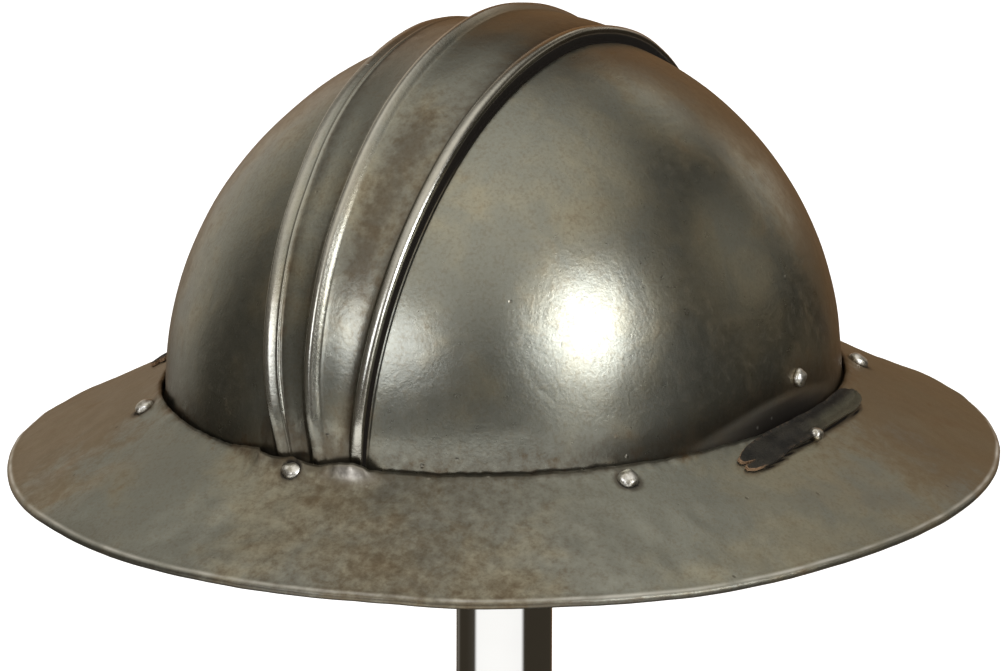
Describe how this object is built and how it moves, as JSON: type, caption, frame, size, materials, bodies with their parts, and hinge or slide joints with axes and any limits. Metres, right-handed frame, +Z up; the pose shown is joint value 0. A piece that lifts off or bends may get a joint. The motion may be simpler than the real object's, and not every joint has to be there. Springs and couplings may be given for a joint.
{
  "type": "kettle hat on stand",
  "caption": "Steel kettle hat with a ribbed oval crown and a wide sloping hemmed brim, held on a plain post stand with a round base.",
  "frame": {"origin": "on the floor, under the middle of the stand's base and of the hat's oval", "axes": "+X to the front of the hat, along the ribs; +Y to the wearer's left; +Z up"},
  "size_m": [0.3492, 0.3236, 0.3127],
  "materials": {
    "hat_steel": "dark hammered steel with brown patina, satin",
    "rivet_steel": "worn bright on the heads",
    "old_leather": "dark, dry, tan at torn edges",
    "stand_polish": "polished",
    "stand_pad": "matt"
  },
  "bodies": {
    "root": {"crown": "hat_steel", "brim": "hat_steel", "brim_rivet_front": "rivet_steel", "brim_rivet_rear": "rivet_steel", "brim_rivet_left_front": "rivet_steel", "brim_rivet_left_rear": "rivet_steel", "brim_rivet_right_front": "rivet_steel", "brim_rivet_right_rear": "rivet_steel", "brim_rivet_left": "rivet_steel", "brim_rivet_right": "rivet_steel", "crown_rivet_left": "rivet_steel", "crown_rivet_right": "rivet_steel", "side_strap_left": "old_leather", "side_strap_right": "old_leather", "stand_base": "stand_polish", "stand_post": "stand_polish", "stand_cap": "stand_pad"}
  },
  "joints": []
}
